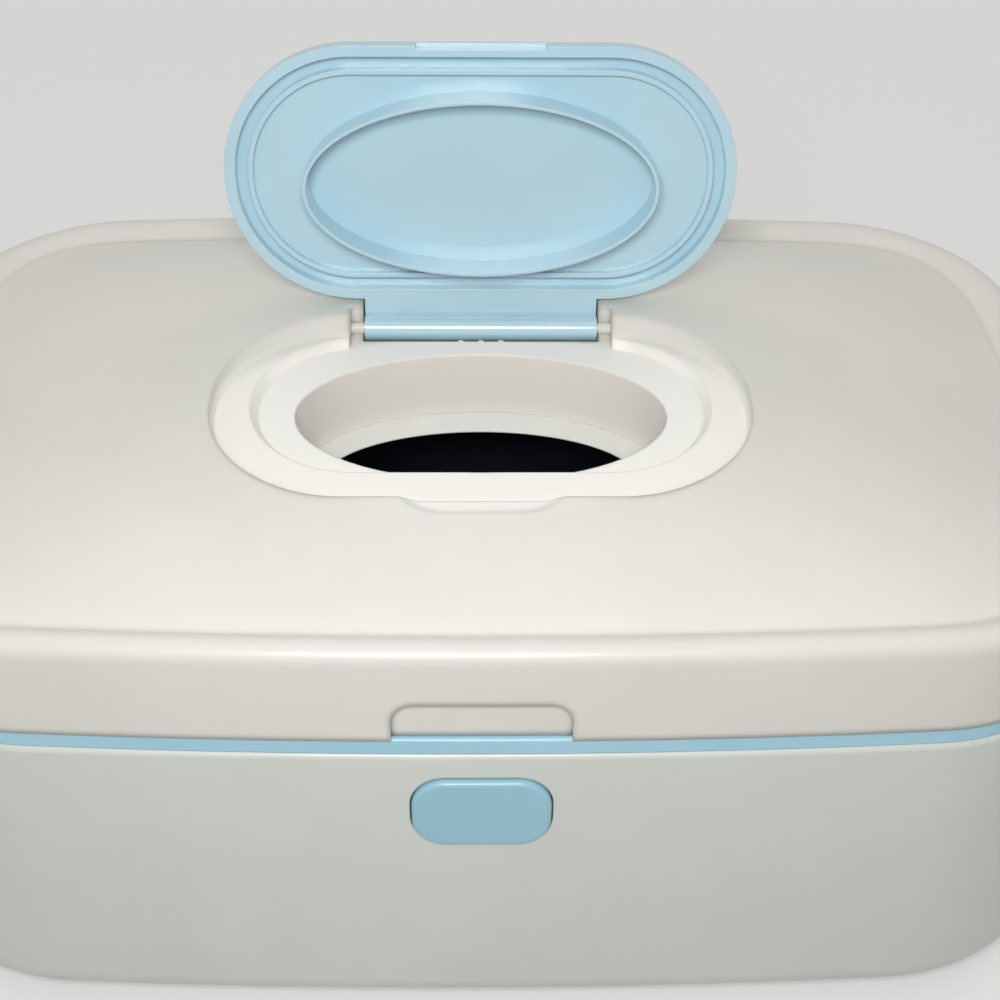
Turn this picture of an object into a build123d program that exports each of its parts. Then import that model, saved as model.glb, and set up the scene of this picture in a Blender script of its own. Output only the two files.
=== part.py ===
"""Baby wipe warmer: a drafted casing with an accent ring, a hinged lid with a dispensing flap,
a heated inner tub, its controls, and a push button. Millimetres, +Z up, the front faces -Y."""

import os
from math import cos, radians, sin, tan

from build123d import *

os.makedirs("parts", exist_ok=True)

# Casing
base_half_width = 139.2
base_half_depth = 89.1
base_corner_radius = 51.0
front_bow = 5.2
side_bow = 3.2
wall_draft = 4.8
wall = 2.6
casing_bottom = 2.0
bottom_edge_radius = 8.0
base_top = 77.7
base_top_round = 1.2

# Bottom cover, its screws and the feet
cover_inset = 16.0
cover_lip = 11.0
cover_thickness = 3.0
cover_clearance = 0.3
lip_thickness = 2.6
screw_shank_radius = 1.5
screw_head_radius = 2.8
screw_head_height = 1.6
screw_length = 9.0
screw_tip_room = 0.4
screw_bore_clearance = 0.03
screw_pass_clearance = 0.25
cover_screw_inset_x = 77.2
cover_screw_inset_y = 22.8
cover_end_screw_inset = 22.0
cover_boss_radius = 4.0
cover_boss_cap = 1.0
foot_radius = 8.0
foot_recess = 1.0
foot_round = 0.5
foot_inset_x = 47.2
foot_inset_y = 43.1

# Small screws of the boards
small_screw_radius = 1.0
small_head_radius = 2.0
small_head_height = 1.4
small_tip_room = 0.5

# Accent ring
ring_height = 3.6
ring_inset = 0.6
ring_band = 3.4
ring_shelf = 9.0
ring_shelf_thickness = 2.0
ring_round = 0.6

# Inner tub and the heater under it
tub_inset_x = 23.2
tub_inset_y = 24.1
tub_corner_radius = 30.0
tub_wall = 1.8
tub_draft = 2.0
tub_bottom = 24.0
tub_floor_round = 5.0
tub_flange_thickness = 1.5
tub_flange_clearance = 0.4
heater_inset_x = 16.0
heater_inset_y = 13.0
heater_corner_radius = 12.0
heater_thickness = 1.6
film_inset_x = 25.0
film_inset_y = 10.0
film_corner_radius = 6.0
film_thickness = 0.6
pad_thickness = 4.0
thermostat_radius = 7.0
thermostat_height = 5.0
thermostat_chamfer = 0.8
thermostat_tab_length = 5.0
thermostat_tab_width = 6.0
thermostat_tab_thickness = 0.8
thermostat_tab_spacing = 8.0
sensor_inset = 12.0
fuse_radius = 2.0
fuse_length = 12.0

# Control board
board_inset = 101.2
board_y = 8.0
board_length = 84.0
board_width = 50.0
board_corner_radius = 2.0
board_thickness = 1.6
board_boss_height = 4.0
board_boss_radius = 3.2
board_hole_inset = 4.5
capacitor_inset = 14.0
capacitor_y = 8.0
capacitor_spacing_x = 11.0
capacitor_spacing_y = 14.0
capacitor_radius = 4.0
capacitor_height = 4.8
relay_inset = 34.0
relay_y = 10.0
relay_length = 15.0
relay_width = 10.0
relay_height = 5.0
relay_corner_radius = 0.6
chip_x = 2.0
chip_y = 10.0
chip_length = 10.0
chip_width = 6.0
chip_height = 1.6
connector_inset = 8.0
connector_spacing = 13.0
connector_length = 9.0
connector_width = 5.0
connector_height = 4.6
connector_wall = 0.8
connector_floor = 1.0

# Power inlet in the back wall
inlet_inset = 77.2
inlet_height = 19.0
inlet_bush_radius = 4.6
inlet_bush_clearance = 0.2
inlet_seat_gap = 1.2
inlet_bore_radius = 3.15
inlet_bore_depth = 9.5
inlet_pin_radius = 1.0
inlet_pin_length = 8.0
inlet_body_width = 12.0
inlet_body_depth = 13.0
inlet_body_height = 11.0
inlet_body_corner = 0.8

# Push button and its switch
button_drop = 14.9
button_width = 27.8
button_tall = 17.4
button_corner = 6.8
button_gap = 0.35
button_proud = 1.3
button_round = 1.0
button_travel = 0.8
button_flange = 1.9
button_flange_thickness = 1.2
button_seat_gap = 0.3
button_post_radius = 2.6
button_post_length = 2.2
switch_stem_radius = 1.5
switch_stem_length = 3.2
switch_stem_clearance = 0.08
switch_size = 8.0
switch_corner_radius = 0.6
switch_depth = 4.0
switch_floor = 0.6
switch_gap = 1.0
switch_board_length = 46.0
switch_board_width = 20.0
switch_board_corner = 1.5
switch_post_x = 18.5
switch_post_radius = 2.6
led_radius = 1.5
led_length = 3.6
led_dome = 1.2
led_x = 8.6

# Lid
lid_gap = 0.3
rim_height = 21.8
rim_outer_radius = 3.2
rim_inner_radius = 2.4
rim_slope = 50.0
valley_drop = 3.5
valley_inset = 8.6
dome_margin = 2.0
dome_rise = 11.6
dome_sink = 2.0
dome_power = 4
dome_grid = 12
dome_block = 30.0
dome_hollow_step = 1.0
bowl_under = 1.0
finger_width = 35.0
finger_height = 9.2
finger_depth = 1.6
finger_corner = 4.5

# Dispensing flap, in the plane of its own hinge
flap_axis_y = 22.6
flap_axis_rise = 6.2
flap_lean = 9.5
flap_width = 113.6
flap_length = 58.2
flap_corner_radius = 28.6
flap_centre = 35.6
flap_set_back = 2.0
flap_edge = 5.0
flap_crown = 1.4
flap_outer_round = 2.0
flap_skin = 2.2
flap_rim_width = 2.4
flap_rest_gap = 0.3
panel_inset = 5.2
panel_thickness = 1.0
bead_width = 1.1
bead_drop = 0.2
rib_shift = 1.1
rib_half_length = 39.2
rib_half_width = 20.0
rib_thickness = 0.8
rib_reach = 6.0
barrel_radius = 2.8
barrel_half_length = 26.8
tab_thickness = 3.0
flap_pin_radius = 1.3
flap_pin_clearance = 0.05
flap_pin_hold = 0.02
flap_pin_half_length = 34.0
lift_notch_width = 28.0
lift_notch_depth = 0.8
lift_notch_height = 2.6

# Recess for the flap, and the throat under it
recess_clearance = 0.35
recess_front_draft = 8.0
recess_side_draft = 12.0
recess_back_draft = 50.0
step_half_width = 48.4
step_front_inset = 10.0
step_corner_radius = 22.5
step_depth = 2.2
step_draft = 35.0
slot_end_gap = 0.35
slot_front_gap = 1.9
slot_back_gap = 6.6
slot_floor_gap = 1.2
pin_notch_half_length = 30.0
pin_notch_back = 0.2
nib_radius = 0.7
nib_spacing = 4.6
throat_half_length = 40.3
throat_half_width = 22.6
throat_shift = 2.0
throat_wall = 2.2
throat_depth = 16.4
scoop_width = 27.0
scoop_length = 11.0
scoop_reach = 2.8
scoop_depth = 1.5
scoop_corner = 5.0
scoop_slope = 68.0

# Lid liner, lip and gasket
liner_rise = 2.2
liner_thickness = 2.0
liner_inset = 3.4
liner_turn_up = 4.0
liner_wall = 1.6
lip_reach = 4.6
lip_drop = 2.4
lip_shoulder = 0.8
gasket_inset = 8.2
gasket_width = 4.0
gasket_gap = 0.3
liner_screw_inset_x = 47.2
liner_screw_inset_y = 39.1
liner_boss_radius = 3.6

# Lid hinges
hinge_inset = 69.2
hinge_length = 20.0
hinge_radius = 2.8
hinge_axis_stand = 2.9
hinge_axis_rise = 2.1
hinge_pin_radius = 1.4
hinge_pin_clearance = 0.05
hinge_pin_hold = 0.02
hinge_side_gap = 0.3
ear_length = 3.6
ear_foot_drop = 15.7
arm_height = 6.0
arm_foot = 1.0

# Places that follow from the sizes above
tub_half_width = base_half_width - tub_inset_x
tub_half_depth = base_half_depth - tub_inset_y
heater_half_length = tub_half_width - heater_inset_x
heater_half_width = tub_half_depth - heater_inset_y
film_length = 2 * (heater_half_length - film_inset_x)
film_width = 2 * (heater_half_width - film_inset_y)
sensor_x = heater_half_length - sensor_inset
board_x = base_half_width - board_inset
cover_screw_x = base_half_width - cover_screw_inset_x
cover_screw_y = base_half_depth - cover_screw_inset_y
cover_end_screw_x = base_half_width - cover_end_screw_inset
foot_x = base_half_width - foot_inset_x
foot_y = base_half_depth - foot_inset_y
inlet_x = base_half_width - inlet_inset
liner_screw_x = base_half_width - liner_screw_inset_x
liner_screw_y = base_half_depth - liner_screw_inset_y
hinge_x = base_half_width - hinge_inset
hinge_axis_z = base_top + hinge_axis_rise
button_height = base_top - button_drop
ear_foot = base_top - ear_foot_drop
ring_top = base_top + ring_height
shelf_top = base_top + ring_shelf_thickness
flange_top = shelf_top + tub_flange_thickness
lid_bottom = ring_top + lid_gap
rim_top = lid_bottom + rim_height
valley_height = rim_top - valley_drop
flap_axis_z = valley_height + flap_axis_rise
liner_height = lid_bottom + liner_rise
cover_top = casing_bottom + cover_thickness
hollow_floor = cover_top + lip_thickness
screw_bore_top = casing_bottom + screw_head_height + screw_length + screw_tip_room
ledge_height = flap_axis_z + flap_set_back - flap_rest_gap
platform_height = ledge_height - step_depth
throat_bottom = platform_height - throat_depth
flap_centre_closed = flap_axis_y - flap_centre
rib_centre_closed = flap_centre_closed + rib_shift
throat_y = rib_centre_closed + throat_shift
draft_slope = tan(radians(wall_draft))
hinge_axis_out = base_half_depth - hinge_axis_z * draft_slope + hinge_axis_stand
board_bottom = cover_top + board_boss_height
board_top = board_bottom + board_thickness
heater_top = tub_bottom
heater_bottom = heater_top - heater_thickness
film_bottom = heater_bottom - film_thickness
cover_screws = [(x, y) for x in (-cover_screw_x, cover_screw_x) for y in (-cover_screw_y, cover_screw_y)]
cover_screws += [(-cover_end_screw_x, 0), (cover_end_screw_x, 0)]
foot_places = [(x, y) for x in (-foot_x, foot_x) for y in (-foot_y, foot_y)]
liner_top = liner_height + liner_thickness
liner_screws = [(x, y) for x in (-liner_screw_x, liner_screw_x) for y in (-liner_screw_y, liner_screw_y)]
board_hole_x = board_length / 2 - board_hole_inset
board_hole_y = board_width / 2 - board_hole_inset
board_screws = [
    (board_x + x, board_y + y)
    for x in (-board_hole_x, board_hole_x)
    for y in (-board_hole_y, board_hole_y)
]


def front_face(height):
    """Distance from the middle of the casing to its front face at a height."""
    return base_half_depth - height * draft_slope


def back_face(height, x):
    """Y of the bowed back face at a height and a distance from the middle."""
    return front_face(height) - front_bow * (x / base_half_width) ** 2


def casing_outline(height, inset=0.0):
    """The casing's bowed, round-cornered outline at a height, moved in by inset."""
    shrink = height * draft_slope + inset
    half_width = base_half_width - shrink
    half_depth = base_half_depth - shrink
    x = half_width - side_bow
    y = half_depth - front_bow
    with BuildSketch(Plane.XY.offset(height)) as outline:
        with BuildLine():
            ThreePointArc((-x, -y), (0, -half_depth), (x, -y))
            ThreePointArc((x, -y), (half_width, 0), (x, y))
            ThreePointArc((x, y), (0, half_depth), (-x, y))
            ThreePointArc((-x, y), (-half_width, 0), (-x, -y))
        make_face()
        fillet(outline.vertices(), base_corner_radius - shrink)
    return outline.sketch


def crown(u, v, power):
    """Share of a pillow's rise at a place given as a share of its half sizes."""
    return (1 - abs(u) ** power) * (1 - abs(v) ** power)


def pillow(plane, half_x, half_y, edge, rise, power, depth):
    """Solid under a crowned surface that falls from edge + rise in the middle to edge at its sides."""
    rows = []
    for i in range(-dome_grid, dome_grid + 1):
        u = i / dome_grid
        row = []
        for j in range(-dome_grid, dome_grid + 1):
            v = j / dome_grid
            z = edge + rise * crown(u, v, power)
            row.append(plane.from_local_coords(Vector(u * half_x, v * half_y, z)))
        rows.append(row)
    surface = Face.make_surface_from_array_of_points(rows, tol=0.005, min_deg=3, max_deg=6)
    return Solid.extrude(surface, plane.z_dir * -depth)


dome_reach = (1 - dome_sink / (dome_rise + dome_sink)) ** (1 / dome_power)
dome_half_depth = (front_face(valley_height) - valley_inset) / dome_reach
dome_half_width = dome_half_depth + base_half_width - base_half_depth
dome_edge = valley_height - dome_sink


def dome_height(x, y):
    """Height of the lid's domed surface."""
    share = crown(x / dome_half_width, y / dome_half_depth, dome_power)
    return dome_edge + (dome_rise + dome_sink) * share


def lid_dome(drop=0.0):
    """The pillow of the lid, lowered by drop."""
    rise = dome_rise + dome_sink
    return pillow(Plane.XY, dome_half_width, dome_half_depth, dome_edge - drop, rise, dome_power, dome_block)


def front_plane(height):
    """Plane on the casing's front face, facing out, at a height."""
    out = (0, -cos(radians(wall_draft)), sin(radians(wall_draft)))
    return Plane(origin=(0, -front_face(height), height), x_dir=(1, 0, 0), z_dir=out)


# Planes and axes of the moving pieces
button_plane = front_plane(button_height)
finger_plane = front_plane(lid_bottom)
flap_normal = Vector(0, -cos(radians(flap_lean)), sin(radians(flap_lean)))
flap_plane = Plane(origin=(0, flap_axis_y, flap_axis_z), x_dir=(1, 0, 0), z_dir=flap_normal)
flap_face = flap_plane.offset(-flap_set_back)
flap_back = Plane(
    origin=flap_face.origin + flap_plane.y_dir * flap_centre, x_dir=(1, 0, 0), z_dir=-flap_normal
)
hinge_plane = Plane(origin=(0, hinge_axis_out, hinge_axis_z), x_dir=(0, 1, 0), z_dir=(1, 0, 0))
flap_axis_plane = Plane(origin=flap_plane.origin, x_dir=-flap_normal, z_dir=(1, 0, 0))


def finish(piece, name):
    """Name a finished piece and write its file."""
    piece.part.label = name
    export_step(piece.part, f"parts/{name}.step")


# Base shell: drafted walls, a rounded bottom edge and a lip that takes the bottom cover
switch_board_face = wall + button_seat_gap + button_flange_thickness + button_post_length
switch_board_face += switch_gap + switch_depth
with BuildPart() as base_shell:
    extrude(casing_outline(casing_bottom), amount=base_top - casing_bottom, taper=wall_draft)
    fillet(base_shell.faces().sort_by(Axis.Z)[0].edges(), bottom_edge_radius)
    fillet(base_shell.faces().sort_by(Axis.Z)[-1].edges(), base_top_round)
    hollow = casing_outline(hollow_floor, wall)
    extrude(hollow, amount=base_top - hollow_floor, taper=wall_draft, mode=Mode.SUBTRACT)
    extrude(casing_outline(casing_bottom, cover_inset), amount=cover_thickness, mode=Mode.SUBTRACT)
    floor_hole = casing_outline(casing_bottom, cover_inset + cover_lip)
    extrude(floor_hole, amount=hollow_floor - casing_bottom, mode=Mode.SUBTRACT)
    with BuildSketch(Plane.XY.offset(cover_top)):
        with Locations(*cover_screws):
            Circle(cover_boss_radius)
    extrude(amount=screw_bore_top + cover_boss_cap - cover_top)
    with BuildSketch(Plane.XY.offset(cover_top)):
        with Locations(*cover_screws):
            Circle(screw_shank_radius + screw_bore_clearance)
    extrude(amount=screw_bore_top - cover_top, mode=Mode.SUBTRACT)
    # Posts behind the front wall that carry the switch board
    with BuildSketch(button_plane.offset(-switch_board_face)):
        with Locations((-switch_post_x, 0), (switch_post_x, 0)):
            Circle(switch_post_radius)
    extrude(amount=switch_board_face - wall / 2)
    with BuildSketch(button_plane.offset(-switch_board_face)):
        with Locations((-switch_post_x, 0), (switch_post_x, 0)):
            Circle(small_screw_radius + screw_bore_clearance)
    extrude(amount=switch_depth + small_tip_room, mode=Mode.SUBTRACT)
    # Opening for the button
    with BuildSketch(button_plane.offset(-2 * wall)):
        RectangleRounded(
            button_width + 2 * button_gap, button_tall + 2 * button_gap, button_corner + button_gap
        )
    extrude(amount=3 * wall, mode=Mode.SUBTRACT)
    # Hole for the power inlet
    with BuildSketch(Plane.XZ.offset(-back_face(inlet_height, inlet_x) - wall)):
        with Locations((inlet_x, inlet_height)):
            Circle(inlet_bush_radius + inlet_bush_clearance)
    extrude(amount=3 * wall, mode=Mode.SUBTRACT)
    # Ears of the lid hinges, each with a gusset down to the back wall
    ear_offset = hinge_length / 2 + hinge_side_gap
    ear_root = back_face(base_top, hinge_x + ear_offset + ear_length) - wall / 2 - hinge_axis_out
    for side in (-1, 1):
        for end in (-1, 1):
            inner = side * hinge_x + end * ear_offset
            start = min(inner, inner + end * ear_length)
            with BuildSketch(hinge_plane.offset(start)):
                Circle(hinge_radius)
                with BuildLine():
                    Polyline(
                        (-hinge_radius, 0),
                        (0, 0),
                        (0, -hinge_radius),
                        (ear_root, ear_foot - hinge_axis_z),
                        (ear_root, base_top - wall - hinge_axis_z),
                        close=True,
                    )
                make_face()
            extrude(amount=ear_length)
    with BuildSketch(hinge_plane.offset(-hinge_x - ear_offset - ear_length)):
        Circle(hinge_pin_radius + hinge_pin_hold)
    extrude(amount=2 * (hinge_x + ear_offset + ear_length), mode=Mode.SUBTRACT)
finish(base_shell, "base_shell")

# Bottom cover: a flush plate with board posts, screw seats and foot recesses
with BuildPart() as bottom_cover:
    extrude(casing_outline(casing_bottom, cover_inset + cover_clearance), amount=cover_thickness)
    with BuildSketch(Plane.XY.offset(cover_top)):
        with Locations(*board_screws):
            Circle(board_boss_radius)
    extrude(amount=board_boss_height)
    with BuildSketch(Plane.XY.offset(board_bottom)):
        with Locations(*board_screws):
            Circle(small_screw_radius + screw_bore_clearance)
    extrude(amount=-board_boss_height, mode=Mode.SUBTRACT)
    with BuildSketch(Plane.XY.offset(casing_bottom)):
        with Locations(*cover_screws):
            Circle(screw_shank_radius + screw_pass_clearance)
    extrude(amount=cover_thickness, mode=Mode.SUBTRACT)
    with BuildSketch(Plane.XY.offset(casing_bottom)):
        with Locations(*cover_screws):
            Circle(screw_head_radius + screw_pass_clearance)
    extrude(amount=screw_head_height, mode=Mode.SUBTRACT)
    with BuildSketch(Plane.XY.offset(casing_bottom)):
        with Locations(*foot_places):
            Circle(foot_radius + cover_clearance)
    extrude(amount=foot_recess, mode=Mode.SUBTRACT)
finish(bottom_cover, "bottom_cover")

# Screws of the bottom cover
with BuildPart() as bottom_screws:
    with BuildSketch(Plane.XY.offset(casing_bottom)):
        with Locations(*cover_screws):
            Circle(screw_head_radius)
    extrude(amount=screw_head_height)
    with BuildSketch(Plane.XY.offset(casing_bottom + screw_head_height)):
        with Locations(*cover_screws):
            Circle(screw_shank_radius)
    extrude(amount=screw_length)
finish(bottom_screws, "bottom_screws")

# Rubber feet
with BuildPart() as rubber_feet:
    with BuildSketch():
        with Locations(*foot_places):
            Circle(foot_radius)
    extrude(amount=casing_bottom + foot_recess)
    fillet(rubber_feet.faces().group_by(Axis.Z)[0].edges(), foot_round)
finish(rubber_feet, "rubber_feet")

# Accent ring: a coloured band on the base's top edge, with a shelf inside for the tub
with BuildPart() as accent_ring:
    extrude(casing_outline(base_top, ring_inset), amount=ring_height, taper=wall_draft)
    fillet(accent_ring.faces().sort_by(Axis.Z)[-1].edges(), ring_round)
    shelf_hole = casing_outline(base_top, ring_inset + ring_band + ring_shelf)
    extrude(shelf_hole, amount=ring_height, mode=Mode.SUBTRACT)
    extrude(casing_outline(shelf_top, ring_inset + ring_band), amount=ring_height, mode=Mode.SUBTRACT)
finish(accent_ring, "accent_ring")

# Inner tub: holds the wipes, hangs by its flange on the ring's shelf
with BuildPart() as inner_tub:
    tub_flange = casing_outline(shelf_top, ring_inset + ring_band + tub_flange_clearance)
    extrude(tub_flange, amount=tub_flange_thickness)
    with BuildSketch(Plane.XY.offset(flange_top)):
        RectangleRounded(2 * tub_half_width, 2 * tub_half_depth, tub_corner_radius)
    extrude(amount=-(flange_top - tub_bottom), taper=tub_draft)
    fillet(inner_tub.faces().sort_by(Axis.Z)[0].edges(), tub_floor_round)
    with BuildSketch(Plane.XY.offset(flange_top)):
        RectangleRounded(
            2 * (tub_half_width - tub_wall), 2 * (tub_half_depth - tub_wall), tub_corner_radius - tub_wall
        )
    extrude(amount=-(flange_top - tub_bottom - tub_wall), taper=tub_draft, mode=Mode.SUBTRACT)
finish(inner_tub, "inner_tub")

# Heater under the tub: plate, film and insulation, with a thermostat and a thermal fuse
with BuildPart() as heater_plate:
    with BuildSketch(Plane.XY.offset(heater_top)):
        RectangleRounded(2 * heater_half_length, 2 * heater_half_width, heater_corner_radius)
    extrude(amount=-heater_thickness)
finish(heater_plate, "heater_plate")

with BuildPart() as heating_film:
    with BuildSketch(Plane.XY.offset(heater_bottom)):
        RectangleRounded(film_length, film_width, film_corner_radius)
    extrude(amount=-film_thickness)
finish(heating_film, "heating_film")

with BuildPart() as insulation_pad:
    with BuildSketch(Plane.XY.offset(film_bottom)):
        RectangleRounded(film_length, film_width, film_corner_radius)
    extrude(amount=-pad_thickness)
finish(insulation_pad, "insulation_pad")

with BuildPart() as thermostat:
    with BuildSketch(Plane.XY.offset(heater_bottom)):
        with Locations((sensor_x, 0)):
            Circle(thermostat_radius)
    extrude(amount=-thermostat_height)
    chamfer(thermostat.faces().sort_by(Axis.Z)[0].edges(), thermostat_chamfer)
    with BuildSketch(Plane.XY.offset(heater_bottom - thermostat_height)):
        with GridLocations(0, thermostat_tab_spacing, 1, 2):
            with Locations((sensor_x, 0)):
                Rectangle(thermostat_tab_width, thermostat_tab_thickness)
    extrude(amount=-thermostat_tab_length)
finish(thermostat, "thermostat")

with BuildPart() as thermal_fuse:
    with BuildSketch(Plane.YZ.offset(-sensor_x - fuse_radius)):
        with Locations((-fuse_length / 2, heater_bottom - fuse_radius)):
            Circle(fuse_radius)
            Rectangle(fuse_radius, fuse_radius, align=(Align.CENTER, Align.MIN))
    extrude(amount=fuse_length)
finish(thermal_fuse, "thermal_fuse")

# Control board with its parts and screws
with BuildPart() as control_board:
    with BuildSketch(Plane.XY.offset(board_bottom)):
        with Locations((board_x, board_y)):
            RectangleRounded(board_length, board_width, board_corner_radius)
    extrude(amount=board_thickness)
    with BuildSketch(Plane.XY.offset(board_bottom)):
        with Locations(*board_screws):
            Circle(small_screw_radius + screw_pass_clearance)
    extrude(amount=board_thickness, mode=Mode.SUBTRACT)
finish(control_board, "control_board")

with BuildPart() as board_screw_set:
    with BuildSketch(Plane.XY.offset(board_top)):
        with Locations(*board_screws):
            Circle(small_head_radius)
    extrude(amount=small_head_height)
    with BuildSketch(Plane.XY.offset(board_top)):
        with Locations(*board_screws):
            Circle(small_screw_radius)
    extrude(amount=small_tip_room - board_thickness - board_boss_height)
finish(board_screw_set, "board_screws")

with BuildPart() as capacitors:
    with BuildSketch(Plane.XY.offset(board_top)):
        with Locations((board_x - board_length / 2 + capacitor_inset, board_y + capacitor_y)):
            with Locations((0, 0), (capacitor_spacing_x, 0), (0, -capacitor_spacing_y)):
                Circle(capacitor_radius)
    extrude(amount=capacitor_height)
finish(capacitors, "capacitors")

with BuildPart() as relay:
    with BuildSketch(Plane.XY.offset(board_top)):
        with Locations((board_x + board_length / 2 - relay_inset, board_y + relay_y)):
            RectangleRounded(relay_length, relay_width, relay_corner_radius)
    extrude(amount=relay_height)
finish(relay, "relay")

with BuildPart() as controller_chip:
    with BuildSketch(Plane.XY.offset(board_top)):
        with Locations((board_x - chip_x, board_y - chip_y)):
            Rectangle(chip_length, chip_width)
    extrude(amount=chip_height)
finish(controller_chip, "controller_chip")

with BuildPart() as board_connectors:
    with BuildSketch(Plane.XY.offset(board_top)):
        with Locations((board_x + board_length / 2 - connector_inset, board_y)):
            with GridLocations(0, connector_spacing, 1, 3):
                Rectangle(connector_width, connector_length)
    extrude(amount=connector_height)
    with BuildSketch(Plane.XY.offset(board_top + connector_height)):
        with Locations((board_x + board_length / 2 - connector_inset, board_y)):
            with GridLocations(0, connector_spacing, 1, 3):
                Rectangle(connector_width - 2 * connector_wall, connector_length - 2 * connector_wall)
    extrude(amount=connector_floor - connector_height, mode=Mode.SUBTRACT)
finish(board_connectors, "board_connectors")

# Power inlet: a round socket with a centre pin, seated in the back wall
inlet_back = back_face(inlet_height, inlet_x)
inlet_inside = inlet_back - wall - inlet_seat_gap
with BuildPart() as power_inlet:
    with BuildSketch(Plane.XZ.offset(-inlet_inside)):
        with Locations((inlet_x, inlet_height)):
            RectangleRounded(inlet_body_width, inlet_body_height, inlet_body_corner)
    extrude(amount=inlet_body_depth)
    with BuildSketch(Plane.XZ.offset(-inlet_inside)):
        with Locations((inlet_x, inlet_height)):
            Circle(inlet_bush_radius)
    extrude(amount=inlet_inside - inlet_back + inlet_bush_clearance)
    with BuildSketch(Plane.XZ.offset(-inlet_back)):
        with Locations((inlet_x, inlet_height)):
            Circle(inlet_bore_radius)
    extrude(amount=inlet_bore_depth, mode=Mode.SUBTRACT)
    with BuildSketch(Plane.XZ.offset(-inlet_back + inlet_bore_depth)):
        with Locations((inlet_x, inlet_height)):
            Circle(inlet_pin_radius)
    extrude(amount=-inlet_pin_length)
finish(power_inlet, "power_inlet")

# Push button, its stem, the switch and the board that carries them
flange_face = wall + button_seat_gap
post_end = flange_face + button_flange_thickness + button_post_length
with BuildPart() as button_cap:
    with BuildSketch(button_plane.offset(-flange_face - button_flange_thickness)):
        RectangleRounded(
            button_width + 2 * button_flange, button_tall + 2 * button_flange, button_corner + button_flange
        )
    extrude(amount=button_flange_thickness)
    with BuildSketch(button_plane.offset(-flange_face - button_flange_thickness)):
        RectangleRounded(button_width, button_tall, button_corner)
    extrude(amount=flange_face + button_flange_thickness + button_proud)
    fillet(button_cap.faces().sort_by(Axis.Y)[0].edges(), button_round)
    with BuildSketch(button_plane.offset(-flange_face - button_flange_thickness)):
        Circle(button_post_radius)
    extrude(amount=-button_post_length)
finish(button_cap, "button_cap")

with BuildPart() as switch_stem:
    with BuildSketch(button_plane.offset(-post_end)):
        Circle(switch_stem_radius)
    extrude(amount=-switch_stem_length)
finish(switch_stem, "switch_stem")

with BuildPart() as tact_switch:
    with BuildSketch(button_plane.offset(-switch_board_face)):
        RectangleRounded(switch_size, switch_size, switch_corner_radius)
    extrude(amount=switch_depth)
    with BuildSketch(button_plane.offset(-switch_board_face + switch_depth)):
        Circle(switch_stem_radius + switch_stem_clearance)
    extrude(amount=switch_floor - switch_depth, mode=Mode.SUBTRACT)
finish(tact_switch, "tact_switch")

with BuildPart() as switch_board:
    with BuildSketch(button_plane.offset(-switch_board_face)):
        RectangleRounded(switch_board_length, switch_board_width, switch_board_corner)
    extrude(amount=-board_thickness)
    with BuildSketch(button_plane.offset(-switch_board_face)):
        with Locations((-switch_post_x, 0), (switch_post_x, 0)):
            Circle(small_screw_radius + screw_pass_clearance)
    extrude(amount=-board_thickness, mode=Mode.SUBTRACT)
finish(switch_board, "switch_board")

with BuildPart() as switch_board_screws:
    with BuildSketch(button_plane.offset(-switch_board_face - board_thickness)):
        with Locations((-switch_post_x, 0), (switch_post_x, 0)):
            Circle(small_head_radius)
    extrude(amount=-small_head_height)
    with BuildSketch(button_plane.offset(-switch_board_face - board_thickness)):
        with Locations((-switch_post_x, 0), (switch_post_x, 0)):
            Circle(small_screw_radius)
    extrude(amount=board_thickness + switch_depth)
finish(switch_board_screws, "switch_board_screws")

with BuildPart() as indicator_led:
    with BuildSketch(button_plane.offset(-switch_board_face)):
        with Locations((led_x, 0)):
            Circle(led_radius)
    extrude(amount=led_length)
    fillet(indicator_led.faces().sort_by(Axis.Y)[0].edges(), led_dome)
finish(indicator_led, "indicator_led")

# Lid hinge pins
with BuildPart() as lid_hinge_pins:
    for side in (-1, 1):
        with BuildSketch(hinge_plane.offset(side * hinge_x - ear_offset - ear_length)):
            Circle(hinge_pin_radius)
        extrude(amount=2 * (ear_offset + ear_length))
finish(lid_hinge_pins, "lid_hinge_pins")

# Lid shell, first the two pillows that bound its domed middle
with BuildPart() as dome_outside:
    extrude(casing_outline(valley_height, valley_inset - dome_margin), amount=dome_rise + dome_sink, both=True)
    add(lid_dome(), mode=Mode.INTERSECT)

with BuildPart() as dome_inside:
    extrude(casing_outline(valley_height, valley_inset + wall), amount=dome_rise + dome_sink, both=True)
    add(lid_dome(wall), mode=Mode.INTERSECT)
    with BuildSketch(Plane.XY.offset(valley_height - wall - dome_hollow_step)):
        Rectangle(2 * base_half_width, 2 * base_half_depth)
    extrude(amount=-dome_block, mode=Mode.SUBTRACT)

# Recess for the flap, its stepped floor and the slot for the flap's barrel
recess_back = flap_centre_closed + flap_length / 2 + recess_clearance
recess_front = flap_centre_closed - flap_length / 2 - recess_clearance
recess_y = (recess_back + recess_front) / 2
recess_length = recess_back - recess_front
recess_width = flap_width + 2 * recess_clearance
recess_radius = flap_corner_radius + recess_clearance
tray_bottom = platform_height - wall
slot_front = flap_axis_y - barrel_radius - slot_front_gap
slot_back = flap_axis_y + slot_back_gap
slot_floor = flap_axis_z - barrel_radius - slot_floor_gap
slot_y = (slot_front + slot_back) / 2
slot_depth = slot_back - slot_front
slot_half_length = barrel_half_length + slot_end_gap
step_run = step_depth * tan(radians(step_draft))
step_front = recess_front + step_front_inset + step_run
step_back = recess_back - step_run
step_y = (step_back + step_front) / 2
notch_back = flap_axis_y + pin_notch_back
above_lid = dome_edge + dome_rise + 2 * dome_sink
recess_rise = above_lid - ledge_height
side_run = recess_rise * tan(radians(recess_side_draft))
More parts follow.
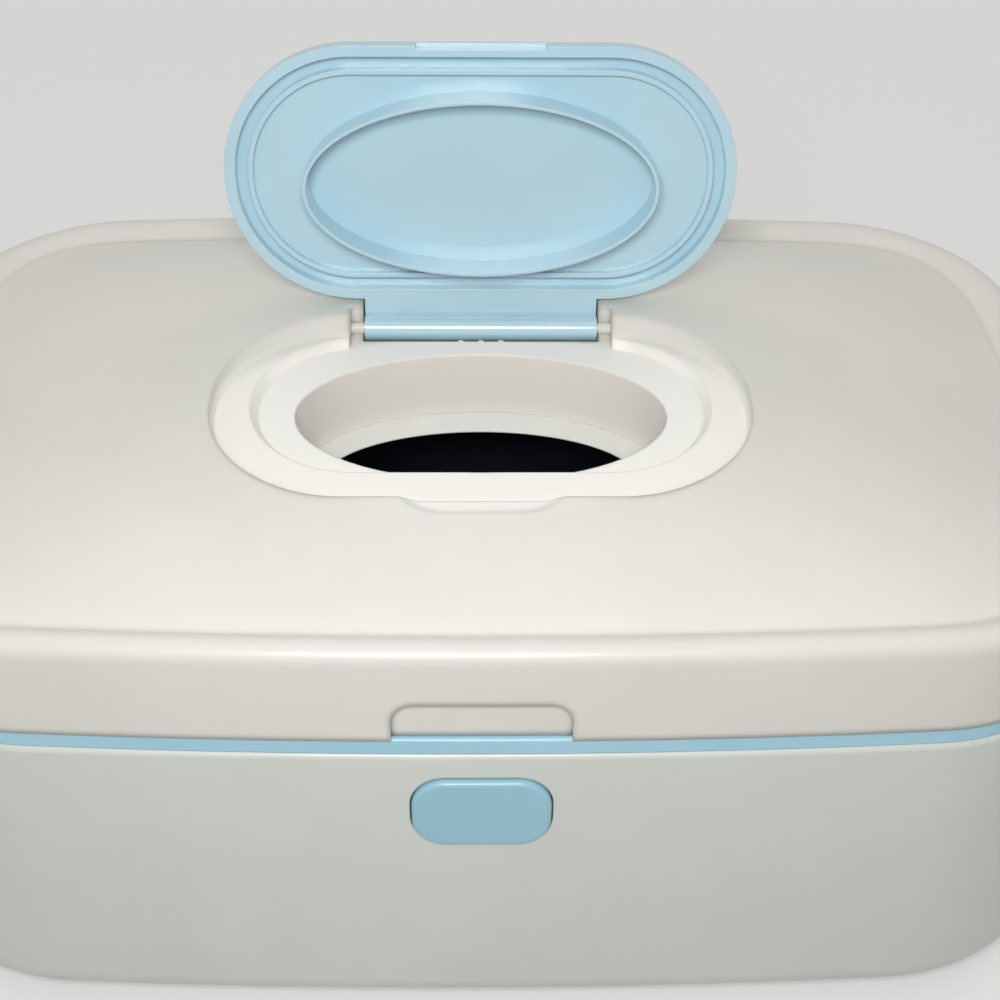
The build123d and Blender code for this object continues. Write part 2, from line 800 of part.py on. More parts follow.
front_run = recess_rise * tan(radians(recess_front_draft))
back_run = recess_rise * tan(radians(recess_back_draft))

# The tray that carries the recess floor and houses the slot, with the screw posts of the liner
with BuildPart() as recess_tray:
    with BuildSketch(Plane.XY.offset(tray_bottom)):
        with Locations((0, recess_y)):
            RectangleRounded(recess_width + 2 * wall, recess_length + 2 * wall, recess_radius + wall)
    extrude(amount=above_lid - tray_bottom)
    with BuildSketch(Plane.XY.offset(slot_floor - wall)):
        with Locations((0, slot_y)):
            Rectangle(2 * (flap_pin_half_length + wall), slot_depth + 2 * wall)
    extrude(amount=above_lid - slot_floor)
    with BuildSketch(Plane.XY.offset(liner_top)):
        with Locations(*liner_screws):
            Circle(liner_boss_radius)
    extrude(amount=above_lid - liner_top)
    add(lid_dome(wall / 2), mode=Mode.INTERSECT)

with BuildPart() as lid_shell:
    extrude(casing_outline(lid_bottom), amount=rim_top - lid_bottom, taper=wall_draft)
    fillet(lid_shell.faces().sort_by(Axis.Z)[-1].edges(), rim_outer_radius)
    # The bowl inside the rim, whose floor the dome covers
    bowl_bottom = valley_height - bowl_under
    bowl_inset = valley_inset + bowl_under * tan(radians(rim_slope))
    bowl = casing_outline(bowl_bottom, bowl_inset)
    extrude(bowl, amount=rim_top - bowl_bottom, taper=-rim_slope, mode=Mode.SUBTRACT)
    crest = lid_shell.faces().sort_by(Axis.Z)[-1].inner_wires()[0]
    fillet(crest.edges(), rim_inner_radius)
    add(dome_outside.part)
    hollow_height = valley_height - wall - lid_bottom
    extrude(casing_outline(lid_bottom, wall), amount=hollow_height, taper=wall_draft, mode=Mode.SUBTRACT)
    add(dome_inside.part, mode=Mode.SUBTRACT)
    add(recess_tray.part)
    # Throat wall under the recess
    with BuildSketch(Plane.XY.offset(throat_bottom)):
        with Locations((0, throat_y)):
            Ellipse(throat_half_length + throat_wall, throat_half_width + throat_wall)
    extrude(amount=throat_depth - wall / 2)
    # Recess and its step
    with BuildSketch(Plane.XY.offset(ledge_height)):
        with Locations((0, recess_y)):
            RectangleRounded(recess_width, recess_length, recess_radius)
    with BuildSketch(Plane.XY.offset(above_lid)):
        with Locations((0, recess_y + (back_run - front_run) / 2)):
            brim_length = recess_length + back_run + front_run
            RectangleRounded(recess_width + 2 * side_run, brim_length, recess_radius + side_run)
    loft(mode=Mode.SUBTRACT)
    with BuildSketch(Plane.XY.offset(platform_height)):
        with Locations((0, step_y)):
            RectangleRounded(2 * step_half_width, step_back - step_front, step_corner_radius)
    extrude(amount=step_depth, taper=-step_draft, mode=Mode.SUBTRACT)
    # Throat
    with BuildSketch(Plane.XY.offset(throat_bottom)):
        with Locations((0, throat_y)):
            Ellipse(throat_half_length, throat_half_width)
    extrude(amount=throat_depth + step_depth, mode=Mode.SUBTRACT)
    # Slot for the barrel, and the notch behind the platform that shows the pin at its ends
    with BuildSketch(Plane.XY.offset(slot_floor)):
        with Locations((0, slot_y)):
            Rectangle(2 * slot_half_length, slot_depth)
    extrude(amount=above_lid - slot_floor, mode=Mode.SUBTRACT)
    with BuildSketch(Plane.XY.offset(platform_height)):
        with Locations((0, notch_back)):
            notch_length = notch_back - step_back + nib_radius
            Rectangle(2 * pin_notch_half_length, notch_length, align=(Align.CENTER, Align.MAX))
    extrude(amount=above_lid - platform_height, mode=Mode.SUBTRACT)
    with BuildSketch(Plane.XY.offset(slot_floor)):
        with Locations((-nib_spacing, slot_front), (0, slot_front), (nib_spacing, slot_front)):
            Circle(nib_radius)
    extrude(amount=platform_height - slot_floor)
    with BuildSketch(flap_axis_plane.offset(-flap_pin_half_length)):
        Circle(flap_pin_radius + flap_pin_hold)
    extrude(amount=2 * flap_pin_half_length, mode=Mode.SUBTRACT)
    # Finger scoop in front of the recess, and the finger lift in the front wall
    with BuildSketch(Plane.XY.offset(dome_height(0, recess_front) - scoop_depth)):
        with Locations((0, recess_front - scoop_reach + scoop_length / 2)):
            RectangleRounded(scoop_width, scoop_length, scoop_corner)
    extrude(amount=wall, taper=-scoop_slope, mode=Mode.SUBTRACT)
    with BuildSketch(finger_plane.offset(-finger_depth)):
        RectangleRounded(finger_width, 2 * finger_height, finger_corner)
    extrude(amount=2 * finger_depth, mode=Mode.SUBTRACT)
    with BuildSketch(Plane.XY.offset(liner_top)):
        with Locations(*liner_screws):
            Circle(screw_shank_radius + screw_bore_clearance)
    extrude(amount=screw_length, mode=Mode.SUBTRACT)
    # Knuckles of the lid hinges
    wall_foot = back_face(lid_bottom, hinge_x + hinge_length / 2) - hinge_axis_out
    for side in (-1, 1):
        with BuildSketch(hinge_plane.offset(side * hinge_x - hinge_length / 2)):
            Circle(hinge_radius)
            with BuildLine():
                Polyline(
                    (0, 0),
                    (hinge_radius, 0),
                    (wall_foot, lid_bottom + arm_height - hinge_axis_z),
                    (wall_foot - wall / 2, lid_bottom + arm_foot - hinge_axis_z),
                    close=True,
                )
            make_face()
        extrude(amount=hinge_length)
    with BuildSketch(hinge_plane.offset(-hinge_x - hinge_length)):
        Circle(hinge_pin_radius + hinge_pin_clearance)
    extrude(amount=2 * (hinge_x + hinge_length), mode=Mode.SUBTRACT)
finish(lid_shell, "lid_shell")

# Liner: closes the lid from below, with a turned-up edge and a collar under the throat's lip
collar_top = throat_bottom - lip_drop
with BuildPart() as lid_liner:
    extrude(casing_outline(liner_height, liner_inset), amount=liner_thickness + liner_turn_up, taper=wall_draft)
    turn_up = casing_outline(liner_top, liner_inset + liner_wall)
    extrude(turn_up, amount=liner_turn_up, taper=wall_draft, mode=Mode.SUBTRACT)
    with BuildSketch(Plane.XY.offset(liner_top)):
        with Locations((0, throat_y)):
            Ellipse(throat_half_length + throat_wall, throat_half_width + throat_wall)
    extrude(amount=collar_top - liner_top)
    with BuildSketch(Plane.XY.offset(liner_height)):
        with Locations((0, throat_y)):
            Ellipse(throat_half_length, throat_half_width)
        with Locations(*liner_screws):
            Circle(screw_shank_radius + screw_pass_clearance)
    extrude(amount=collar_top - liner_height, mode=Mode.SUBTRACT)
finish(lid_liner, "lid_liner")

with BuildPart() as liner_screw_set:
    with BuildSketch(Plane.XY.offset(liner_height)):
        with Locations(*liner_screws):
            Circle(screw_head_radius)
    extrude(amount=-screw_head_height)
    with BuildSketch(Plane.XY.offset(liner_height)):
        with Locations(*liner_screws):
            Circle(screw_shank_radius)
    extrude(amount=screw_length)
finish(liner_screw_set, "liner_screws")

# Soft lip that narrows the throat, held between the throat's wall and the liner's collar
with BuildPart() as throat_lip:
    with BuildSketch(Plane.XY.offset(collar_top)):
        with Locations((0, throat_y)):
            Ellipse(throat_half_length + throat_wall, throat_half_width + throat_wall)
    extrude(amount=lip_drop)
    with BuildSketch(Plane.XY.offset(collar_top)):
        with Locations((0, throat_y)):
            Ellipse(throat_half_length - lip_reach, throat_half_width - lip_reach)
    with BuildSketch(Plane.XY.offset(throat_bottom)):
        with Locations((0, throat_y)):
            Ellipse(throat_half_length - lip_shoulder, throat_half_width - lip_shoulder)
    loft(mode=Mode.SUBTRACT)
finish(throat_lip, "throat_lip")

# Gasket under the liner, over the tub's flange
with BuildPart() as lid_gasket:
    gasket_bottom = flange_top + gasket_gap
    extrude(casing_outline(gasket_bottom, gasket_inset), amount=liner_height - gasket_bottom)
    gasket_hole = casing_outline(gasket_bottom, gasket_inset + gasket_width)
    extrude(gasket_hole, amount=liner_height - gasket_bottom, mode=Mode.SUBTRACT)
finish(lid_gasket, "lid_gasket")

# Flap cover: crowned back, hollow front, and the barrel that it turns on
pocket_depth = flap_edge - flap_skin
crown_depth = flap_edge + flap_crown
flap_far_side = Axis(flap_back.origin, flap_back.z_dir)
with BuildPart() as flap_cover:
    with BuildSketch(flap_back):
        RectangleRounded(flap_width, flap_length, flap_corner_radius)
    extrude(amount=2 * crown_depth)
    half_x = flap_width / 2 + flap_crown
    half_y = flap_length / 2 + flap_crown
    add(pillow(flap_back, half_x, half_y, flap_edge, flap_crown, 2, 2 * crown_depth), mode=Mode.INTERSECT)
    fillet(flap_cover.faces().sort_by(flap_far_side)[-1].edges(), flap_outer_round)
    with BuildSketch(flap_back):
        RectangleRounded(
            flap_width - 2 * flap_rim_width,
            flap_length - 2 * flap_rim_width,
            flap_corner_radius - flap_rim_width,
        )
    extrude(amount=pocket_depth, mode=Mode.SUBTRACT)
    # Notch in the free edge for a fingertip
    with BuildSketch(flap_back):
        with Locations((0, -flap_length / 2)):
            Rectangle(lift_notch_width, 2 * lift_notch_depth)
    extrude(amount=lift_notch_height, mode=Mode.SUBTRACT)
    # Barrel and the tab that carries it
    with BuildSketch(flap_axis_plane.offset(-barrel_half_length)):
        Circle(barrel_radius)
        with Locations((flap_set_back, -barrel_radius / 2)):
            tab_length = flap_centre - flap_length / 2 + flap_rim_width / 2 + barrel_radius / 2
            Rectangle(tab_thickness, tab_length, align=(Align.MIN, Align.MIN))
    extrude(amount=2 * barrel_half_length)
    with BuildSketch(flap_axis_plane.offset(-barrel_half_length)):
        Circle(flap_pin_radius + flap_pin_clearance)
    extrude(amount=2 * barrel_half_length, mode=Mode.SUBTRACT)
finish(flap_cover, "flap_cover")

# Flap panel: seated in the cover's pocket, with a bead round it and the rib that enters the throat
with BuildPart() as flap_panel:
    panel_width = flap_width - 2 * panel_inset
    panel_length = flap_length - 2 * panel_inset
    panel_radius = flap_corner_radius - panel_inset
    with BuildSketch(flap_back.offset(pocket_depth)):
        RectangleRounded(panel_width, panel_length, panel_radius)
    extrude(amount=-panel_thickness)
    with BuildSketch(flap_back.offset(pocket_depth)):
        RectangleRounded(panel_width, panel_length, panel_radius)
        RectangleRounded(
            panel_width - 2 * bead_width,
            panel_length - 2 * bead_width,
            panel_radius - bead_width,
            mode=Mode.SUBTRACT,
        )
    extrude(amount=bead_drop - pocket_depth)
    with BuildSketch(flap_back.offset(pocket_depth)):
        with Locations((0, rib_shift)):
            Ellipse(rib_half_length, rib_half_width)
            Ellipse(rib_half_length - rib_thickness, rib_half_width - rib_thickness, mode=Mode.SUBTRACT)
    extrude(amount=-pocket_depth - rib_reach)
finish(flap_panel, "flap_panel")

# Pin of the flap's hinge, fixed in the lid
with BuildPart() as flap_hinge_pin:
    with BuildSketch(flap_axis_plane.offset(-flap_pin_half_length)):
        Circle(flap_pin_radius)
    extrude(amount=2 * flap_pin_half_length)
finish(flap_hinge_pin, "flap_hinge_pin")
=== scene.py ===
"""Baby wipe warmer: the finishes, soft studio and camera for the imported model.

Metres, +Z up, the front faces -Y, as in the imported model.
"""

import math

import bpy
from mathutils import Matrix, Vector

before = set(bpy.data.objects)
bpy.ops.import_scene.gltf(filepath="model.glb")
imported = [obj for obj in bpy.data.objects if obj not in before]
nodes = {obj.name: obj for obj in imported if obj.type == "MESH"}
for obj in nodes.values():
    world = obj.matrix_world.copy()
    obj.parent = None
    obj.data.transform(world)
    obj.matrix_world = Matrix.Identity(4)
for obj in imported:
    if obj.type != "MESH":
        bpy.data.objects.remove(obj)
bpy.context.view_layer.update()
millimetre = 0.001


def light_of(level):
    """The light of a level from 0 to 255, by the sRGB curve."""
    share = level / 255
    return share / 12.92 if share <= 0.04045 else ((share + 0.055) / 1.055) ** 2.4


def tint(red, green, blue):
    """A colour written as it looks, in the light that shaders take."""
    return (light_of(red), light_of(green), light_of(blue), 1.0)


lid_white = tint(225, 222, 214)
lid_shade = tint(214, 210, 200)
# painted light: the recess is whiter than the lid to offset the shade of the open flap
recess_painted_light = tint(251, 246, 238)
base_white = tint(214, 218, 211)
base_shade = tint(203, 207, 199)
flap_blue = tint(184, 217, 230)
flap_rubbed = tint(202, 231, 241)
band_blue = tint(160, 207, 227)
button_blue = tint(152, 195, 211)
lip_white = tint(222, 221, 214)
# the tub's near-black colour is painted shade, standing in for the dark inside of the closed
# body
tub_painted_shade = tint(20, 27, 40)
cover_white = tint(205, 203, 196)
tarnish = tint(120, 118, 114)
board_mask = tint(18, 74, 44)
board_track = tint(40, 112, 62)
felt_grey = tint(150, 147, 140)
felt_pale = tint(196, 194, 188)
floor_light = tint(196, 196, 194)
floor_dark = tint(190, 190, 188)
backdrop_grey = tint(200, 200, 199)
white = (1, 1, 1, 1)
black = (0, 0, 0, 1)

# How marks are stretched: under 1 draws them out along an axis, over 1 packs them along it
even = (1, 1, 1)
scuffs_along_yz = (1, 0.12, 0.12)
lines_along_x = (0.05, 1, 1)
lines_along_z = (1, 1, 0.05)
weave_across_y = (1, 6, 1)
tracks_along_y = (1, 0.15, 1)
strands_along_x = (0.1, 1, 1)
strands_along_y = (1, 0.1, 1)

# Shading: edges of the lid outside the recess, and how runs of faces are joined
soft_edge = 2.6 * millimetre
weld_distance = 0.002 * millimetre
crease_angle = math.radians(24)

# The recess under the flap
recess_centre = Vector((0, -0.0132, 0))
recess_half_length = 0.0585
recess_half_width = 0.0325
ledge_height = 0.1083
brim_height = 0.1102


class Value:
    """A socket of a graph. Arithmetic on it adds Math nodes."""

    def __init__(self, graph, socket):
        self.graph = graph
        self.socket = socket

    def maths(self, operation, first, second):
        return self.graph.node("ShaderNodeMath", {"operation": operation}, {0: first, 1: second})

    def __add__(self, other):
        return self.maths("ADD", self, other)

    def __radd__(self, other):
        return self.maths("ADD", other, self)

    def __sub__(self, other):
        return self.maths("SUBTRACT", self, other)

    def __rsub__(self, other):
        return self.maths("SUBTRACT", other, self)

    def __mul__(self, other):
        return self.maths("MULTIPLY", self, other)

    def __rmul__(self, other):
        return self.maths("MULTIPLY", other, self)


class Graph:
    """A node tree, with one method that adds nodes to it."""

    def __init__(self, tree):
        self.tree = tree

    def node(self, kind, settings, inputs, output=0):
        made = self.tree.nodes.new(kind)
        for key, value in settings.items():
            setattr(made, key, value)
        for key, value in inputs.items():
            self.feed(made.inputs[key], value)
        return Value(self, made.outputs[output])

    def feed(self, socket, value):
        if isinstance(value, Value):
            self.tree.links.new(value.socket, socket)
        else:
            socket.default_value = value

    def shown(self):
        """1 or more on rays that show a background: straight, mirrored or through glass."""
        straight, mirrored, through = (
            self.node("ShaderNodeLightPath", {}, {}, ray)
            for ray in ("Is Camera Ray", "Is Glossy Ray", "Is Transmission Ray")
        )
        return straight + mirrored + through


class Finish(Graph):
    """A material of the object or the floor, and the marks it is made of."""

    def __init__(self, name):
        self.material = bpy.data.materials.new(name)
        self.material.use_nodes = True
        super().__init__(self.material.node_tree)
        self.shader = self.tree.nodes["Principled BSDF"]

    def surface(self, **inputs):
        for key, value in inputs.items():
            self.feed(self.shader.inputs[key.replace("_", " ")], value)

    def place(self, stretch=even):
        """Where a point is on the piece, in metres, stretched along the piece's axes."""
        at = self.node("ShaderNodeTexCoord", {}, {}, "Object")
        return self.node("ShaderNodeMapping", {}, {"Vector": at, "Scale": stretch})

    def noise(self, per_metre, detail, stretch=even):
        inputs = {"Vector": self.place(stretch), "Scale": per_metre, "Detail": detail}
        return self.node("ShaderNodeTexNoise", {}, inputs, "Fac")

    def ramp(self, value, low, high):
        """0 below low, 1 above high."""
        return self.node("ShaderNodeMapRange", {"interpolation_type": "SMOOTHSTEP"}, {
            "Value": value, "From Min": low, "From Max": high,
        })

    def blend(self, share, first, second):
        """A colour between two."""
        inputs = {0: share, 6: first, 7: second}
        return self.node("ShaderNodeMix", {"data_type": "RGBA"}, inputs, 2)

    def turn(self, share, first, second):
        """A direction between two."""
        inputs = {0: share, 4: first, 5: second}
        return self.node("ShaderNodeMix", {"data_type": "VECTOR"}, inputs, 1)

    def direction_maths(self, operation, first, second, output):
        settings = {"operation": operation}
        return self.node("ShaderNodeVectorMath", settings, {0: first, 1: second}, output)

    def rounded(self, radius):
        """The surface's normal with its sharp edges rounded."""
        return self.node("ShaderNodeBevel", {"samples": 6}, {"Radius": radius})

    def edge_mask(self, radius):
        """1 on sharp edges, 0 on plain surface."""
        plain = self.node("ShaderNodeNewGeometry", {}, {}, "Normal")
        agree = self.direction_maths("DOT_PRODUCT", self.rounded(radius), plain, "Value")
        return self.ramp(1 - agree, low=0.01, high=0.2)

    def relief(self, height, depth, strength, normal):
        """The normal of a fine relief over a rounded surface."""
        inputs = {"Height": height, "Distance": depth, "Strength": strength, "Normal": normal}
        return self.node("ShaderNodeBump", {}, inputs)


def moulded_plastic(name, colour, worn, roughness, coat, edge=0.5, grain=0.12, recess_light_and_edges=None):
    """Injection-moulded plastic: faint flow shades, fine grain, rubbed edges and light scuffs.

    edge is the radius of its edges in millimetres. The last argument, if given, makes the shares
    of the place where the plastic keeps crisp edges, and where it is painted whiter, as painted
    light that offsets the open flap's shade.
    """
    flow_share, cloud_share = 0.6, 0.4
    mottle_tone, edge_tone = 0.35, 0.45
    cloud_dullness, scuff_dullness, edge_polish = 0.10, 0.06, 0.05
    finish = Finish(name)
    flow = finish.noise(per_metre=9, detail=2.0)
    cloud = finish.noise(per_metre=55, detail=4.0)
    rubs = finish.noise(per_metre=260, detail=6.0, stretch=scuffs_along_yz)
    scuffs = finish.ramp(rubs, low=0.6, high=0.75)
    fine = finish.noise(per_metre=1600, detail=3.0)
    edges = finish.edge_mask(edge * 2 * millimetre)
    mottle = finish.ramp(flow * flow_share + cloud * cloud_share, low=0.35, high=0.65)
    shade = finish.blend(mottle * mottle_tone + edges * edge_tone, colour, worn)
    form = finish.rounded(edge * millimetre)
    if recess_light_and_edges:
        in_recess, below = recess_light_and_edges(finish)
        # painted light: the recess below the ledge is painted whiter to offset the open flap's
        # shade
        shade = finish.blend(in_recess * below, shade, recess_painted_light)
        form = finish.turn(in_recess, finish.rounded(soft_edge), form)
    dullness = (cloud - 0.5) * cloud_dullness + scuffs * scuff_dullness - edges * edge_polish
    finish.surface(
        Base_Color=shade,
        Roughness=roughness + dullness,
        Normal=finish.relief(fine, depth=0.02 * millimetre, strength=grain, normal=form),
        Coat_Weight=coat,
        Coat_Roughness=0.12,
        IOR=1.49,
    )
    return finish.material


def soft_rubber(name, colour, worn, roughness):
    """Silicone or rubber: matte, with a faint bloom and a fine grain."""
    bloom_tone, bloom_dullness = 0.5, 0.12
    finish = Finish(name)
    bloom = finish.ramp(finish.noise(per_metre=120, detail=5.0), low=0.4, high=0.7)
    fine = finish.noise(per_metre=2600, detail=2.0)
    form = finish.rounded(0.4 * millimetre)
    finish.surface(
        Base_Color=finish.blend(bloom * bloom_tone, colour, worn),
        Roughness=roughness + bloom * bloom_dullness,
        Normal=finish.relief(fine, depth=0.03 * millimetre, strength=0.2, normal=form),
        IOR=1.42,
        Sheen_Weight=0.1,
    )
    return finish.material


def bare_metal(name, colour, roughness, stretch):
    """Drawn or rolled metal: fine lines along the piece and rubbed spots."""
    spot_tone, line_dullness, spot_dullness = 0.6, 0.2, 0.08
    finish = Finish(name)
    lines = finish.noise(per_metre=1500, detail=3.0, stretch=stretch)
    spots = finish.ramp(finish.noise(per_metre=180, detail=4.0), low=0.45, high=0.7)
    form = finish.rounded(0.2 * millimetre)
    finish.surface(
        Base_Color=finish.blend(spots * spot_tone, colour, tarnish),
        Metallic=1.0,
        Roughness=roughness + (lines - 0.5) * line_dullness + spots * spot_dullness,
        Normal=finish.relief(lines, depth=0.01 * millimetre, strength=0.25, normal=form),
    )
    return finish.material


def coated_board(name):
    """Circuit board: green mask over copper, with faint tracks under it."""
    track_tone, weave_tone = 0.7, 0.2
    roughness, weave_dullness = 0.32, 0.12
    finish = Finish(name)
    weave = finish.noise(per_metre=900, detail=2.0, stretch=weave_across_y)
    copper = finish.noise(per_metre=300, detail=1.0, stretch=tracks_along_y)
    tracks = finish.ramp(copper, low=0.52, high=0.56)
    tone = tracks * track_tone + weave * weave_tone
    form = finish.rounded(0.1 * millimetre)
    finish.surface(
        Base_Color=finish.blend(tone, board_mask, board_track),
        Roughness=roughness + weave * weave_dullness,
        Normal=finish.relief(tracks, depth=0.03 * millimetre, strength=0.5, normal=form),
    )
    return finish.material


def felted_pad(name):
    """Needled fibre: short crossing strands in greys."""
    finish = Finish(name)
    across = finish.noise(per_metre=1400, detail=4.0, stretch=strands_along_y)
    along = finish.noise(per_metre=1400, detail=4.0, stretch=strands_along_x)
    strands = (across + along) * 0.5
    tone = finish.ramp(strands, low=0.35, high=0.65)
    form = finish.rounded(0.5 * millimetre)
    finish.surface(
        Base_Color=finish.blend(tone, felt_grey, felt_pale),
        Roughness=0.95,
        Normal=finish.relief(strands, depth=0.3 * millimetre, strength=0.8, normal=form),
        Sheen_Weight=0.3,
    )
    return finish.material


def under_flap(finish):
    """The recess and throat: its crisp edges, and its whiter colour below the ledge, painted
    light that offsets the flap's shade.
    """
    centre = nodes["lid_shell"].matrix_world.inverted() @ recess_centre
    offset = finish.direction_maths("SUBTRACT", finish.place(), centre, "Vector")
    across, along, height = (
        finish.node("ShaderNodeSeparateXYZ", {}, {"Vector": offset}, axis)
        for axis in ("X", "Y", "Z")
    )
    reach_x = across * across * (1 / recess_half_length ** 2)
    reach_y = along * along * (1 / recess_half_width ** 2)
    inside = 1 - finish.ramp(reach_x + reach_y, low=0.9, high=1.25)
    below = 1 - finish.ramp(height, ledge_height, brim_height)
    return inside, below


lid_plastic = moulded_plastic(
    "lid_plastic", lid_white, lid_shade, roughness=0.36, coat=0.2, edge=0.8, grain=0.08,
    recess_light_and_edges=under_flap,
)
liner_plastic = moulded_plastic(
    "liner_plastic", lid_white, lid_shade, roughness=0.36, coat=0.2, edge=0.8, grain=0.08
)
base_plastic = moulded_plastic(
    "base_plastic", base_white, base_shade, roughness=0.38, coat=0.2, edge=0.5, grain=0.08
)
flap_plastic = moulded_plastic(
    "flap_plastic", flap_blue, flap_rubbed, roughness=0.2, coat=0.6, edge=0.35, grain=0.05
)
band_plastic = moulded_plastic(
    "band_plastic", band_blue, flap_blue, roughness=0.3, coat=0.3, edge=0.4, grain=0.08
)
button_plastic = moulded_plastic(
    "button_plastic", button_blue, band_blue, roughness=0.36, coat=0.2, edge=0.4, grain=0.1
)
# painted shade: the tub is near-black for the dark inside of the body
tub_plastic = moulded_plastic(
    "tub_plastic", tub_painted_shade, tint(30, 38, 52), roughness=0.5, coat=0.0, edge=0.6, grain=0.3
)
cover_plastic = moulded_plastic(
    "cover_plastic", cover_white, base_shade, roughness=0.6, coat=0.0, grain=0.6
)
heater_film = moulded_plastic(
    "heater_film", tint(196, 130, 48), tint(160, 96, 30), roughness=0.3, coat=0.2, grain=0.2
)
part_black = moulded_plastic(
    "part_black", tint(34, 34, 36), tint(56, 56, 58), roughness=0.5, coat=0.0, grain=0.4
)
nylon_cream = moulded_plastic(
    "nylon_cream", tint(226, 220, 198), tint(210, 202, 178), roughness=0.45, coat=0.0
)
lens_plastic = moulded_plastic(
    "lens_plastic", tint(216, 226, 230), tint(200, 214, 220), roughness=0.18, coat=0.5, edge=0.2
)
lip_silicone = soft_rubber("lip_silicone", lip_white, tint(232, 232, 228), roughness=0.5)
foot_rubber = soft_rubber("foot_rubber", tint(58, 58, 60), tint(84, 84, 84), roughness=0.7)
zinc_steel = bare_metal("zinc_steel", tint(196, 197, 200), 0.32, even)
drawn_steel = bare_metal("drawn_steel", tint(200, 201, 203), 0.26, lines_along_x)
rolled_aluminium = bare_metal("rolled_aluminium", tint(214, 215, 217), 0.35, lines_along_x)
can_aluminium = bare_metal("can_aluminium", tint(206, 207, 210), 0.3, lines_along_z)
board_green = coated_board("board_green")
pad_fibre = felted_pad("pad_fibre")

finish_of = {
    "base_shell": base_plastic,
    "lid_shell": lid_plastic,
    "lid_liner": liner_plastic,
    "flap_hinge_pin": lid_plastic,
    "flap_cover": flap_plastic,
    "flap_panel": flap_plastic,
    "accent_ring": band_plastic,
    "button_cap": button_plastic,
    "throat_lip": lip_silicone,
    "lid_gasket": lip_silicone,
    "inner_tub": tub_plastic,
    "bottom_cover": cover_plastic,
    "rubber_feet": foot_rubber,
    "bottom_screws": zinc_steel,
    "liner_screws": zinc_steel,
    "board_screws": zinc_steel,
    "switch_board_screws": zinc_steel,
    "lid_hinge_pins": drawn_steel,
    "heater_plate": rolled_aluminium,
    "heating_film": heater_film,
    "insulation_pad": pad_fibre,
    "thermostat": can_aluminium,
    "thermal_fuse": can_aluminium,
    "capacitors": can_aluminium,
    "control_board": board_green,
    "switch_board": board_green,
    "relay": part_black,
    "controller_chip": part_black,
    "power_inlet": part_black,
    "tact_switch": part_black,
    "board_connectors": nylon_cream,
    "switch_stem": nylon_cream,
    "indicator_led": lens_plastic,
}


def shade_evenly(piece):
    """One shading over each run of tangent faces, so that roundings show no facets."""
    joined = piece.modifiers.new("joined_faces", "WELD")
    joined.merge_threshold = weld_distance
    creases = piece.modifiers.new("creases", "EDGE_SPLIT")
    creases.split_angle = crease_angle
    normals = piece.modifiers.new("even_normals", "WEIGHTED_NORMAL")
    normals.mode = "FACE_AREA"
    normals.weight = 50


for node, material in finish_of.items():
    mesh = nodes[node].data
    mesh.materials.clear()
    mesh.materials.append(material)
    shade_evenly(nodes[node])


# Camera: the photograph's viewing angle, on a square frame
camera_place = Vector((-0.0010, -0.2871, 0.3156))
camera_pan = math.radians(1.1)
camera_tilt = math.radians(40.2)
camera_roll = math.radians(0.7)
focal_pixels = 1600
frame_pixels = 1000
sensor_width = 36.0


def stand_camera():
    ahead = Vector((
        math.sin(camera_pan) * math.cos(camera_tilt),
        math.cos(camera_pan) * math.cos(camera_tilt),
        -math.sin(camera_tilt),
    ))
    level_right = Vector((math.cos(camera_pan), -math.sin(camera_pan), 0))
    level_up = level_right.cross(ahead)
    right = math.cos(camera_roll) * level_right + math.sin(camera_roll) * level_up
    up = right.cross(ahead)
    data = bpy.data.cameras.new("camera")
    data.sensor_width = sensor_width
    data.lens = sensor_width * focal_pixels / frame_pixels
    data.clip_start = 0.01
    camera = bpy.data.objects.new("camera", data)
    turned = Matrix((right, up, -ahead)).transposed().to_4x4()
    camera.matrix_world = Matrix.Translation(camera_place) @ turned
    bpy.context.scene.collection.objects.link(camera)
    bpy.context.scene.camera = camera


# Studio: a pale floor and backdrop, a small key above the camera, two soft lamps behind the
# object, which its gloss doesn't mirror, and a wide one overhead
floor_half_size = 6.0
floor_glow = 0.3
world_strength = 0.33


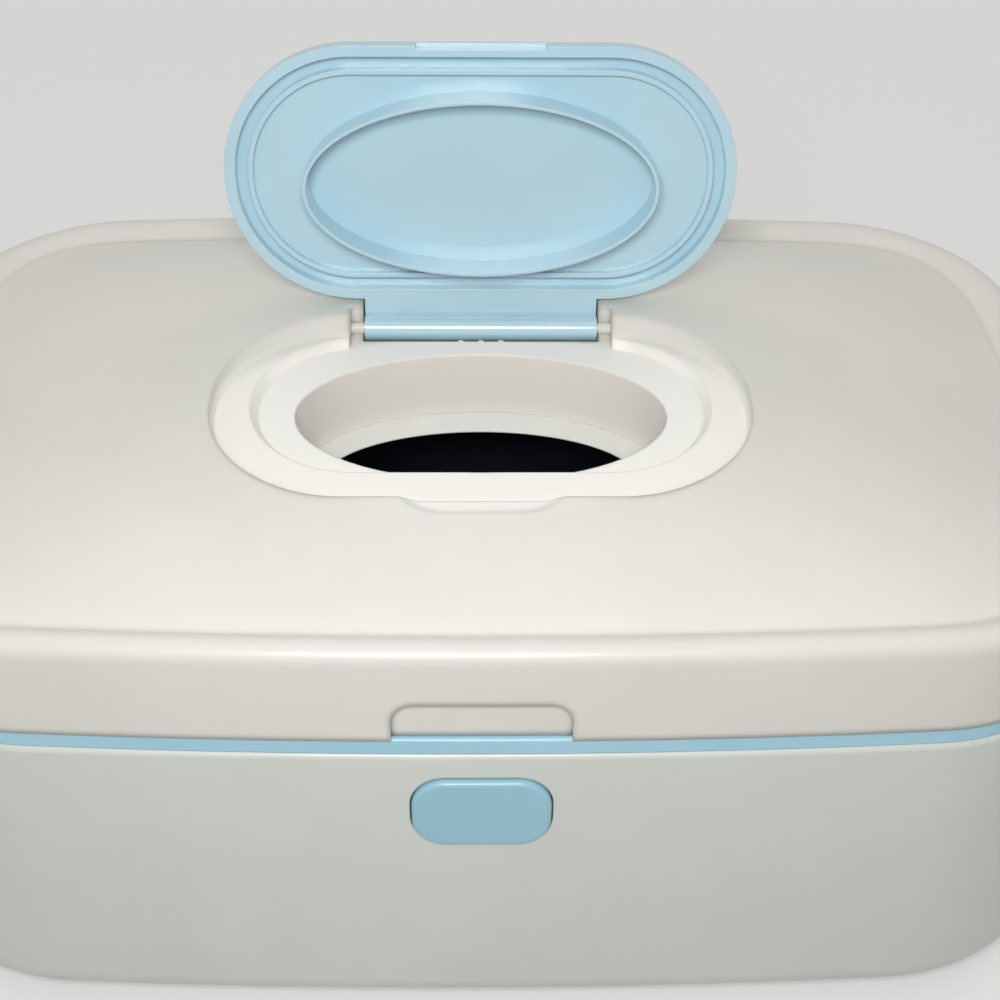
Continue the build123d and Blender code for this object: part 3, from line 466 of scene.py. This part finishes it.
def softbox(name, place, aim, width, depth, watts, mirrored=True):
    data = bpy.data.lights.new(name, "AREA")
    data.shape = "RECTANGLE"
    data.size = width
    data.size_y = depth
    data.energy = watts
    lamp = bpy.data.objects.new(name, data)
    lamp.location = place
    lamp.rotation_euler = (Vector(aim) - Vector(place)).to_track_quat("-Z", "Y").to_euler()
    lamp.visible_glossy = mirrored
    bpy.context.scene.collection.objects.link(lamp)


def pale_floor():
    reach = floor_half_size
    mesh = bpy.data.meshes.new("floor")
    corners = [(-reach, -reach, 0), (reach, -reach, 0), (reach, reach, 0), (-reach, reach, 0)]
    mesh.from_pydata(corners, [], [(0, 1, 2, 3)])
    floor = bpy.data.objects.new("floor", mesh)
    bpy.context.scene.collection.objects.link(floor)
    finish = Finish("floor_paper")
    fibre = finish.noise(per_metre=60, detail=3.0)
    finish.surface(
        Base_Color=finish.blend(fibre * 0.2, floor_light, floor_dark),
        Roughness=0.9,
        Emission_Color=finish.blend(finish.shown(), black, white),
        Emission_Strength=floor_glow,
    )
    mesh.materials.append(finish.material)


def soft_world():
    """An even light, and a pale backdrop on the rays that show one."""
    world = bpy.data.worlds.new("studio")
    world.use_nodes = True
    studio = Graph(world.node_tree)
    even_light = studio.tree.nodes["Background"]
    studio.feed(even_light.inputs["Color"], white)
    studio.feed(even_light.inputs["Strength"], world_strength)
    light = Value(studio, even_light.outputs["Background"])
    backdrop = studio.node("ShaderNodeBackground", {}, {"Color": backdrop_grey}, "Background")
    inputs = {"Fac": studio.shown(), 1: light, 2: backdrop}
    choice = studio.node("ShaderNodeMixShader", {}, inputs, "Shader")
    studio.feed(studio.tree.nodes["World Output"].inputs["Surface"], choice)
    bpy.context.scene.world = world


stand_camera()
pale_floor()
soft_world()
softbox("overhead", place=(0.0, 0.2, 1.6), aim=(0, 0.05, 0.1), width=1.4, depth=1.2, watts=2.0)
softbox("key", place=(-0.02, -0.30, 0.38), aim=(0, 0, 0.1), width=0.14, depth=0.10, watts=1.0)
for name, side in (("back_left", -0.9), ("back_right", 0.9)):
    softbox(
        name, place=(side, 0.9, 0.75), aim=(0, 0, 0.08), width=0.8, depth=0.6, watts=2.8,
        mirrored=False,
    )
bpy.context.scene.view_settings.view_transform = "Standard"
